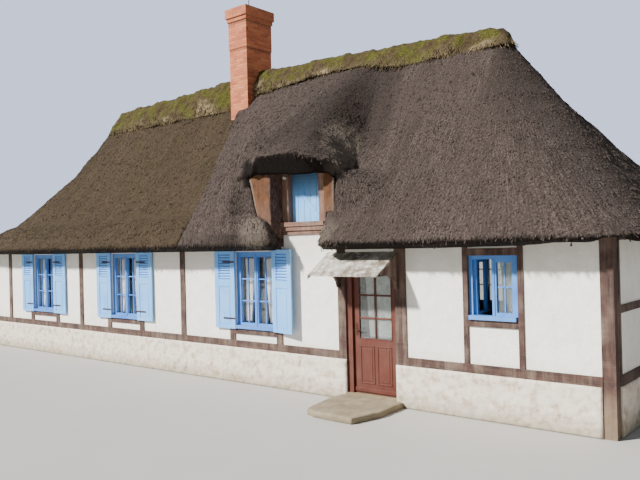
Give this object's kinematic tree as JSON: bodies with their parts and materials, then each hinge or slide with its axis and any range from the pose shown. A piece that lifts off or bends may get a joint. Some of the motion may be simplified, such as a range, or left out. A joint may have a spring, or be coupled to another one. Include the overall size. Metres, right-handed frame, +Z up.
{
  "type": "thatched cottage",
  "caption": "Timber-framed thatched cottage with a brick chimney, a loft door under a thatch hood, blue shutters and a front door that opens.",
  "frame": {"origin": "bottom centre of the whole cottage's box, on the ground it stands on", "axes": "+X to the right along the front wall, +Y from the front wall to the back wall, +Z up"},
  "size_m": [17.7006, 6.7502, 7.94],
  "materials": {
    "thatch": "weathered grey-brown reed thatch",
    "old_thatch": "older, thinner thatch with moss",
    "ridge_turf": "clay ridge with moss and dry straw",
    "limewash": "white limewash on daub",
    "plinth_stone": "limewashed rubble stone",
    "step_stone": "worn flat stone",
    "floor_earth": "plain clay floor",
    "loft_boards": "plain boards",
    "timber": "brown stained old oak",
    "brick": "orange-red brick with pale joints",
    "clay_panel": "rust-orange clay panel",
    "window_paint": "light blue gloss paint on wood",
    "shutter_paint": "light blue paint on wood",
    "door_paint": "red-brown paint on wood",
    "canopy_sheet": "pale weathered sheet",
    "iron": "dark iron",
    "glass": "clear window glass"
  },
  "bodies": {
    "cottage": {"thatch_front_right": "thatch", "thatch_front_middle": "thatch", "thatch_dormer_hood": "thatch", "thatch_right_hip": "thatch", "thatch_back": "thatch", "thatch_front_left": "old_thatch", "thatch_left_hip": "old_thatch", "ridge_cap_right": "ridge_turf", "ridge_cap_left": "ridge_turf", "front_wall_right": "limewash", "front_wall_left": "limewash", "wall_over_door": "limewash", "back_wall": "limewash", "right_end_wall": "limewash", "left_end_wall": "limewash", "front_plinth_right": "plinth_stone", "front_plinth_left": "plinth_stone", "back_plinth": "plinth_stone", "right_end_plinth": "plinth_stone", "left_end_plinth": "plinth_stone", "door_step": "step_stone", "ground_floor": "floor_earth", "loft_floor": "loft_boards", "front_frame_right": "timber", "front_frame_left": "timber", "back_frame": "timber", "right_end_frame": "timber", "left_end_frame": "timber", "dormer_frame": "timber", "chimney": "brick", "dormer_cheek_left": "clay_panel", "dormer_cheek_right": "clay_panel", "right_window": "window_paint", "middle_window": "window_paint", "left_window": "window_paint", "far_left_window": "window_paint", "back_right_window": "window_paint", "back_left_window": "window_paint", "middle_shutter_right": "shutter_paint", "middle_shutter_left": "shutter_paint", "left_shutter_right": "shutter_paint", "left_shutter_left": "shutter_paint", "far_left_shutter_right": "shutter_paint", "far_left_shutter_left": "shutter_paint", "loft_door": "shutter_paint", "door_frame": "door_paint", "door_canopy": "canopy_sheet", "right_window_glass": "glass", "front_windows_glass": "glass", "back_windows_glass": "glass"},
    "door": {"front_door": "door_paint", "door_glass": "glass", "door_handle": "iron"}
  },
  "joints": [
    {"name": "front_door_hinge", "type": "hinge", "parent": "cottage", "child": "door", "pos_m": [5.088, -2.0201, 1.12], "axis": [0, 0, 1], "range_deg": [-90, 0]}
  ]
}
